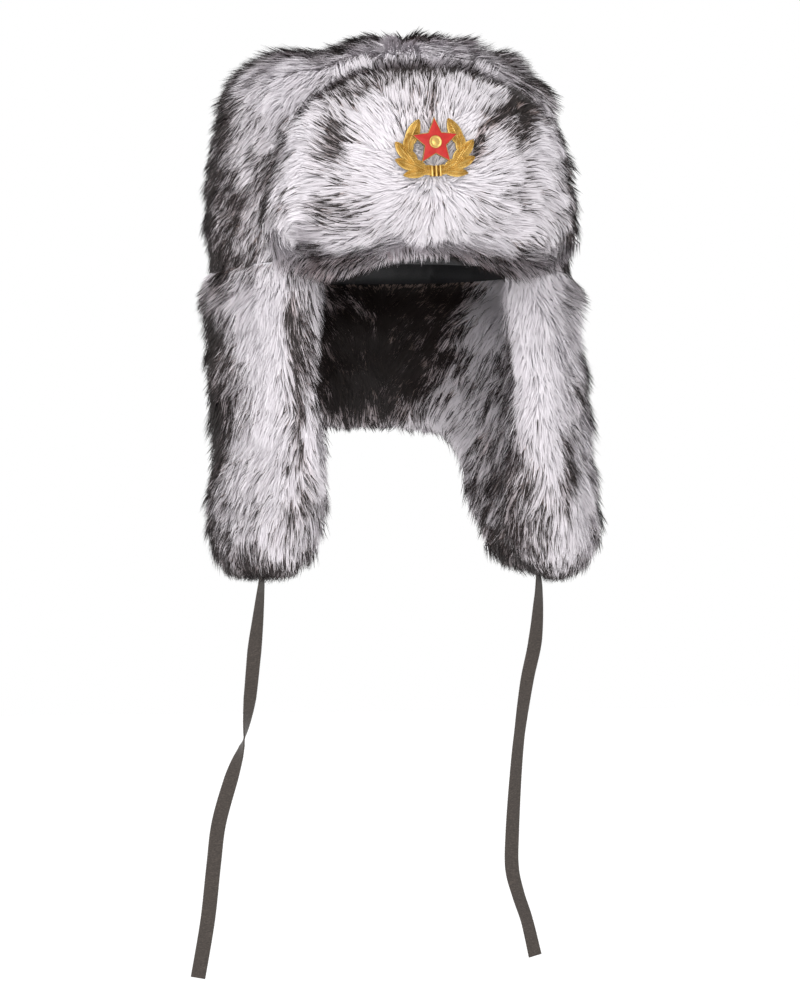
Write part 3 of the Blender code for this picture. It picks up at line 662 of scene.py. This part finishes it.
    uv = np.zeros((count, 5, 2), np.float32)
    uv[:, :, 0] = [0, 0, .50, .50, 1.0]
    uv[:, :, 1] = tones[:, None] + np.array([-.002, .002, -.002, .002, 0])
    layer = mesh.uv_layers.new(name="OFBake")
    layer.uv.foreach_set("vector", uv.reshape(-1, 2)[loops].ravel())
    return addPiece(name, mesh, material, slot, *replaced)


def sampleRoots(places, triangles, normals, sinks, area, count, seed):
    rng = np.random.default_rng(seed)
    pick = rng.choice(len(triangles), count, p=area / area.sum())
    a, b = np.sqrt(rng.uniform(size=count)), rng.uniform(size=count)
    weights = np.stack([1 - a, a * (1 - b), a * b], axis=1)
    corners = triangles[pick]
    return ((places[corners] * weights[:, :, None]).sum(1),
            unit((normals[corners] * weights[:, :, None]).sum(1)),
            (sinks[corners] * weights).sum(1))


# Lengths are metres, and a spread holds the draws' limits for a lock, a wisp and a hair
furLook = {
    "perLock": 120, "perWisp": 3, "foldLift": .02, "pileShare": .38,
    "swirl": 10, "swirlSize": .045, "angleSpread": (9, 8, 7),
    "tipAt": .65, "lockTone": .11, "hairDraw": .38, "wispDraw": .62, "toneSpread": (.06, .07),
    "tippedShare": ((0, .2, .4, .6, .8, 1), (.01, .13, .42, .70, .90, .98)),
    "baseTone": ((0, .3, .6, .8, 1), (.03, .06, .18, .36, .85)),
    "tipTone": (.62, .40, .6),    # tone, and how much darker past a place's tone
    "tippedStand": (.35, 1), "guardStand": (0, .75), "standShort": .35, "dipShort": .35,
    "proud": .0070, "under": .0006, "sink": .0062, "riseSpread": (.06, .05),
    "reach": .0140, "tippedReach": 1.25, "reachSpread": (.12, .10, .12),
    "wispPull": .50, "pilePull": .15, "lockPull": .22,
    "twist": .6, "pileTwist": .2, "mostTwist": 1.2,
    "width": .00036, "tippedWidth": .00050, "pileWidth": .00080, "widthSpread": (.8, 1.25),
    "softness": .80, "pileSoftness": .95,
}
crownLook = {**furLook, "seed": 21, "strands": 102000}
flapLook = {**furLook, "seed": 22, "strands": 46000, "sink": .0060}
bandLook = {**furLook, "seed": 23, "strands": 156000, "sink": .0060}
furGround = {
    "rounds": 3, "touch": .0005, "seamHeight": .010, "leastSink": .001, "darkTone": .72,
    "bareFront": -.055, "bareTop": .012, "bareHalf": .060,    # of the crown, under the flap
}

furMaterial = makeFurMaterial("whiteFur", furColours)
paleSkin = makeSkinMaterial("furGround", *furColours["paleGround"])
darkAndShadedSkin = makeSkinMaterial("darkFurAndShadeGround", *furColours["darkAndShadedGround"])


def dressSolid(name, look, comb, trim, tone, split):
    # A sunk skin in place of the solid, and fur on all of it that lies free
    places, triangles = readSolid(name)
    normals = evenNormals(places, triangles, furGround["rounds"])
    covered = coveredFaces(name, places, triangles, furGround["touch"])
    flats, area = faceNormals(places, triangles)
    bare = np.zeros(len(places))
    for k in range(3):
        np.maximum.at(bare, triangles[:, k], (~covered).astype(float))
    if name != "front_flap":    # crown and band stay joined along their seam
        normals[:, 2] *= np.clip(np.abs(places[:, 2]) / furGround["seamHeight"], 0, 1)
        normals = unit(normals)
    sinks = look["sink"] * bare
    mesh = bpy.data.meshes.new(name + "_skin")
    mesh.from_pydata((places - normals * sinks[:, None]).tolist(), [], triangles.tolist())
    mesh.polygons.foreach_set("use_smooth", np.ones(len(mesh.polygons), bool))
    mesh.update()
    skin = addPiece(name + "_skin", mesh, paleSkin, "white_fur", name)
    skin.data.materials.append(darkAndShadedSkin)
    middles = places[triangles].mean(1)
    # The crown's bare rim under the flap is painted dark as shade there; hidden faces and the ground
    # under dark or shaded fur are dark too.
    rim = (middles[:, 1] < furGround["bareFront"]) & (middles[:, 2] < furGround["bareTop"])
    rim &= (np.abs(middles[:, 0]) < furGround["bareHalf"]) & (name == "crown_fur")
    dark = covered | rim | (tone(middles, unit(flats)) > furGround["darkTone"])
    skin.data.polygons.foreach_set("material_index", dark.astype(np.int32))
    free = ~(covered | rim)
    sinks = np.maximum(sinks, furGround["leastSink"])
    roots, directions, depths = sampleRoots(places, triangles[free], normals, sinks, area[free],
                                            look["strands"], look["seed"])
    density = look["strands"] / area[free].sum() / 1e6
    print("fur:", name, round(density, 2), "strands a square mm")
    for part, keep in split(roots):
        growFur(part, look, roots[keep], directions[keep], depths[keep], comb, trim, tone,
                furMaterial, "white_fur", [name])
        print("fur:", part, int(keep.sum()), "strands")


def crownHalves(roots):
    left = roots[:, 0] > 0
    return (("crownFurRight", ~left), ("crownFurLeft", left))


def wholeFlap(roots):
    return (("frontFlapFur", np.ones(len(roots), bool)),)


def bandThirds(roots):
    fold = np.degrees(np.arctan2(roots[:, 0], -roots[:, 1]))
    back = np.abs(fold) > 122    # degrees round from the front
    return (("rightEarFur", ~back & (fold < 0)), ("leftEarFur", ~back & (fold >= 0)),
            ("neckFur", back))


dressSolid("crown_fur", crownLook, combCrown, trimCrown, crownTone, crownHalves)
dressSolid("front_flap", flapLook, combFlap, trimFlap, flapTone, wholeFlap)
dressSolid("ear_and_neck_flap", bandLook, combBand, trimBand, bandTone, bandThirds)


# Cloth cap inside: the CAD wall made finer, with sewn panels, a stitched hem and soft wrinkles
lining = {
    "splits": 2, "panels": 6, "seamHalf": .0011, "seamDepth": .0004,
    "hemHeight": .0060, "hemHalf": .0007, "hemDepth": .0004, "wrinkle": .00045,
    "wrinkleSize": .026, "drop": .0028, "dropFrom": .012,
}


def makeLiningMaterial():
    material, nodes, links, shader = startMaterial("blackLining", 0.55)
    noise = addNoise(nodes, links, 1400, 2)
    links.new(addRamp(nodes, links, noise, [(.3, (.006, .006, .007)), (.7, (.016, .016, .018))]),
              shader.inputs["Base Color"])
    addBump(nodes, links, shader, noise, .3, .0002)
    return material


def splitTriangles(places, triangles):
    # Every triangle becomes four and the new corners are shared
    a, b, c = (triangles[:, k] for k in range(3))
    pairs = np.sort(np.concatenate([np.stack([a, b], 1), np.stack([b, c], 1),
                                    np.stack([c, a], 1)]), axis=1)
    edges, where = np.unique(pairs, axis=0, return_inverse=True)
    ab, bc, ca = (where.reshape(-1) + len(places)).reshape(3, -1)
    finer = np.concatenate([np.stack(corners, 1) for corners in
                            ((a, ab, ca), (ab, b, bc), (ca, bc, c), (ab, bc, ca))])
    return np.concatenate([places, places[edges].mean(1)]), finer


def makeLining(look, material):
    places, triangles = readSolid("crown_lining")
    for _ in range(look["splits"]):
        places, triangles = splitTriangles(places, triangles)
    normals = evenNormals(places, triangles, 0)
    panel = np.arctan2(places[:, 0], -places[:, 1]) * look["panels"] / math.tau + .5
    aside = np.abs(panel - np.round(panel)) * math.tau / look["panels"]
    aside *= np.hypot(places[:, 0], places[:, 1])
    hem = places[:, 2] - places[:, 2].min() - look["hemHeight"]
    dip = look["seamDepth"] * np.exp(-(aside / look["seamHalf"]) ** 2)
    dip += look["hemDepth"] * np.exp(-(hem / look["hemHalf"]) ** 2)
    outward = unit(places * [1, 1, .6])
    places = places - normals * dip[:, None]
    places -= outward * (look["wrinkle"] * (softNoise(places, look["wrinkleSize"], 12)
                                            * .5 + .5))[:, None]
    above = places[:, 2] - places[:, 2].min()
    places[:, 2] -= look["drop"] * np.clip(1 - above / look["dropFrom"], 0, 1)
    mesh = bpy.data.meshes.new("clothLining")
    mesh.from_pydata(places.tolist(), [], triangles.tolist())
    mesh.polygons.foreach_set("use_smooth", np.ones(len(mesh.polygons), bool))
    mesh.update()
    addPiece("clothLining", mesh, material, "black_cloth", "crown_lining")
    return len(triangles)


print("lining:", makeLining(lining, makeLiningMaterial()), "triangles")


# Badge
def makeGiltMaterial():
    material, nodes, links, shader = startMaterial("gilt", 0.34, 1.0)
    noise = addNoise(nodes, links, 260, 4)
    links.new(addRamp(nodes, links, noise, [(.3, (.40, .255, .07)), (.7, (.66, .45, .15))]),
              shader.inputs["Base Color"])
    addBump(nodes, links, shader, noise, .25, .0004)
    return material


def makeEnamelMaterial():
    material, nodes, links, shader = startMaterial("redEnamel", 0.30)
    noise = addNoise(nodes, links, 300, 3)
    links.new(addRamp(nodes, links, noise, [(.3, (.36, .008, .007)), (.7, (.46, .016, .012))]),
              shader.inputs["Base Color"])
    shader.inputs["Specular IOR Level"].default_value = 0.3
    shader.inputs["Coat Weight"].default_value = 0.25
    shader.inputs["Coat Roughness"].default_value = 0.12
    return material


# Places on the badge are millimetres across and up from its middle, then height off its seat
badge = {
    "tilt": 3.0, "side": -.003, "height": .060,
    "leafSteps": 60, "leafAcross": 12, "leafRelief": .55, "ribRelief": .40, "groove": .20,
    "groovePitch": 1.1, "thickness": .9,
    # base, tip, width and lift of each leaf of the right branch
    "leaves": (((-1, -13.2), (10.5, -12.6), 5.6, .2), ((4.5, -13.4), (18.8, -15.4), 5.6, .4),
               ((5, -13), (15.6, -7.6), 6.6, .6), ((9.5, -11.8), (23, -6.4), 6.4, .8),
               ((11, -10), (17.6, -.5), 6.8, 1.0), ((14, -7.2), (22.5, 3.4), 6.2, 1.1),
               ((15, -4.5), (15.2, 7.5), 6.0, 1.2), ((15.6, .2), (8.4, 15.7), 7.4, 1.3)),
    "bars": (-2.2, .2, 2.6), "barEnds": (-16.6, -10.6), "barHalf": 1.25, "barTop": 2.7, "barLow": .2,
    "starRadius": 14.0, "starWaist": .47, "starRise": 2.5, "starLow": 2.1, "starTop": 4.0,
    "rimWidth": .75, "rimBevel": .35, "rimFlat": (.25, .75), "well": .3,
    "enamelDrop": .25, "enamelDome": .45, "enamelInset": .92, "enamelSink": .28,
    # out from the middle, then up from the button's foot
    "button": ((3.6, 0), (3.6, .55), (3.35, .85), (3.0, .85), (2.8, .55), (2.0, .60), (1.1, .90),
               (.0, 1.0)),
    "buttonSteps": 48, "buttonSink": .25,
}
badgeSeat = max(v.co.y for v in solids["badge_wreath"].data.vertices)


def badgePoint(across, up, height):
    c, s = math.cos(math.radians(badge["tilt"])), math.sin(math.radians(badge["tilt"]))
    return Vector((badge["side"] + (across * c - up * s) / 1000, badgeSeat - height / 1000,
                   badge["height"] + (across * s + up * c) / 1000))


def addLeaf(verts, faces, look, base, tip, width, lift, side):
    base, tip = Vector(base), Vector(tip)
    run = tip - base
    out = Vector((-run.y, run.x)).normalized()
    rows, cols = look["leafSteps"], look["leafAcross"]
    first = len(verts)
    for i in range(rows + 1):
        t = i / rows
        # Blunt at the base, pointed at the tip
        half = width / 2 * (math.sin(math.pi * (.10 + .90 * t) ** 1.05) ** .75 + .015)
        for j in range(cols + 3):
            s = max(-1, min(1, (j - 1) / cols * 2 - 1))
            place = base + run * t + out * (s * half)
            if j in (0, cols + 2):
                high = 0
            else:
                groove = math.cos((t * run.length - abs(s) * half * 1.2) * 2 * math.pi
                                  / look["groovePitch"])
                high = (look["thickness"] + lift * (.25 + .75 * t)
                        + look["leafRelief"] * (1 - abs(s) ** 1.6)
                        + look["ribRelief"] * math.exp(-(s / .13) ** 2)
                        + look["groove"] * groove * min(1, 3 * (1 - abs(s)), 6 * abs(s)))
            verts.append(badgePoint(place.x * side, place.y, high))
    wide = cols + 3
    for i in range(rows):
        for j in range(wide - 1):
            a = first + i * wide + j
            quad = (a, a + 1, a + wide + 1, a + wide)
            faces.append(quad if side > 0 else quad[::-1])
    ends = [tuple(range(first, first + wide)), tuple(range(first + rows * wide, first + rows * wide
                                                           + wide))]
    faces += [ends[0][::-1] if side > 0 else ends[0], ends[1] if side > 0 else ends[1][::-1]]
    under = (first, first + rows * wide, first + rows * wide + wide - 1, first + wide - 1)
    faces.append(under if side > 0 else under[::-1])


def addBar(verts, faces, look, across):
    # One rounded turn of the band that ties the two branches
    first = len(verts)
    low, top = look["barLow"], look["barTop"]
    for up in look["barEnds"]:
        for turn in range(9):
            swing = math.pi * turn / 8
            verts.append(badgePoint(across + look["barHalf"] * math.cos(swing), up,
                                    low + (top - low) * math.sin(swing)))
    for k in range(8):
        faces.append((first + k, first + k + 1, first + k + 10, first + k + 9))
    faces.append((first + 8, first, first + 9, first + 17))
    faces += [tuple(range(first + 8, first - 1, -1)), tuple(range(first + 9, first + 18))]


def makeWreath(look, material):
    verts, faces = [], []
    for side in (1, -1):
        for base, tip, width, lift in look["leaves"]:
            addLeaf(verts, faces, look, base, tip, width, lift, side)
    for across in look["bars"]:
        addBar(verts, faces, look, across)
    mesh = bpy.data.meshes.new("wreathLeaves")
    mesh.from_pydata(verts, [], faces)
    mesh.update()
    return addPiece("wreathLeaves", mesh, material, "gilt", "badge_wreath")


def starOutline(look, radius, height):
    ring = []
    for corner in range(10):
        reach = radius * (1 if corner % 2 == 0 else look["starWaist"])
        swing = math.radians(90 + 36 * corner)
        ring.append(badgePoint(reach * math.cos(swing), look["starRise"] + reach * math.sin(swing),
                               height))
    return ring


def stackRings(name, rings, top, bottom):
    verts = [v for ring in rings for v in ring] + [top, bottom]
    count = len(rings[0])
    faces = [(k * count + j, k * count + (j + 1) % count, (k + 1) * count + (j + 1) % count,
              (k + 1) * count + j) for k in range(len(rings) - 1) for j in range(count)]
    last = (len(rings) - 1) * count
    faces += [(last + j, last + (j + 1) % count, len(verts) - 2) for j in range(count)]
    faces += [((j + 1) % count, j, len(verts) - 1) for j in range(count)]
    mesh = bpy.data.meshes.new(name)
    mesh.from_pydata(verts, [], faces)
    mesh.update()
    return mesh


def makeStar(look, gilt, enamel):
    radius, rim, top = look["starRadius"], look["rimWidth"], look["starTop"]
    floor = top - look["enamelDrop"]
    # A star's rim is as wide across its edge as rim times this
    spread = 1 / math.sin(math.radians(36)) * .75
    outer, inner = look["rimFlat"]
    rings = [starOutline(look, radius, look["starLow"]),
             starOutline(look, radius, top - look["rimBevel"]),
             starOutline(look, radius - rim * spread * outer, top),
             starOutline(look, radius - rim * spread * inner, top),
             starOutline(look, radius - rim * spread, floor - look["well"])]
    mesh = stackRings("starRim", rings, badgePoint(0, look["starRise"], floor - look["well"]),
                      badgePoint(0, look["starRise"], look["starLow"]))
    addPiece("starRim", mesh, gilt, "gilt", "badge_star")
    plate = radius - rim * spread * look["enamelInset"]
    foot = floor - look["enamelSink"]
    rings = [starOutline(look, plate, foot), starOutline(look, plate, floor)]
    rings += [starOutline(look, plate * share, floor + look["enamelDome"] * (1 - share ** 1.5))
              for share in (.9, .75, .5, .25)]
    mesh = stackRings("starEnamel", rings,
                      badgePoint(0, look["starRise"], floor + look["enamelDome"]),
                      badgePoint(0, look["starRise"], foot))
    addPiece("starEnamel", mesh, enamel, "red_enamel", "badge_enamel")
    low = floor + look["enamelDome"] - look["buttonSink"]
    steps = look["buttonSteps"]
    rings = [[badgePoint(out * math.cos(math.tau * k / steps),
                         look["starRise"] + out * math.sin(math.tau * k / steps), low + up)
              for k in range(steps)] for out, up in look["button"][:-1]]
    mesh = stackRings("button", rings, badgePoint(0, look["starRise"], low + look["button"][-1][1]),
                      badgePoint(0, look["starRise"], low))
    mesh.polygons.foreach_set("use_smooth", np.ones(len(mesh.polygons), bool))
    addPiece("button", mesh, gilt, "gilt", "badge_boss")


giltMaterial = makeGiltMaterial()
makeWreath(badge, giltMaterial)
makeStar(badge, giltMaterial, makeEnamelMaterial())
print("badge: finished")


# Studio
studio = {
    "worldStrength": 1.0,
    "keyPower": 14.0, "keySize": 1.2, "keyPlace": (-.9, -1.5, 1.0),
    "fillPower": 16.0, "fillSize": 1.2, "fillPlace": (-.6, -2.1, -.35),
    "floorHeight": -.62, "floorWidth": 12.0,
}


def lightStudio(look):
    world = bpy.data.worlds.new("studio")
    scene.world = world
    world.use_nodes = True
    background = world.node_tree.nodes["Background"]
    background.inputs["Color"].default_value = (1, 1, 1, 1)
    background.inputs["Strength"].default_value = look["worldStrength"]
    for kind in ("key", "fill"):
        light = bpy.data.lights.new(kind, "AREA")
        light.energy = look[kind + "Power"]
        light.size = look[kind + "Size"]
        lamp = bpy.data.objects.new(kind, light)
        lamp.location = look[kind + "Place"]
        lamp.rotation_euler = (-Vector(look[kind + "Place"])).to_track_quat("-Z", "Y").to_euler()
        scene.collection.objects.link(lamp)
    material, _, _, shader = startMaterial("paleFloor", 0.9)
    shader.inputs["Base Color"].default_value = (.95, .95, .95, 1)
    shader.inputs["Emission Color"].default_value = (1, 1, 1, 1)
    shader.inputs["Emission Strength"].default_value = 0.15
    half = look["floorWidth"] / 2
    mesh = bpy.data.meshes.new("floor")
    mesh.from_pydata([(-half, -half, look["floorHeight"]), (half, -half, look["floorHeight"]),
                      (half, half, look["floorHeight"]), (-half, half, look["floorHeight"])],
                     [], [(0, 1, 2, 3)])
    mesh.materials.append(material)
    floor = bpy.data.objects.new("floor", mesh)
    scene.collection.objects.link(floor)


lightStudio(studio)
scene.view_settings.view_transform = "Standard"
print("studio: lit")

bpy.context.view_layer.update()
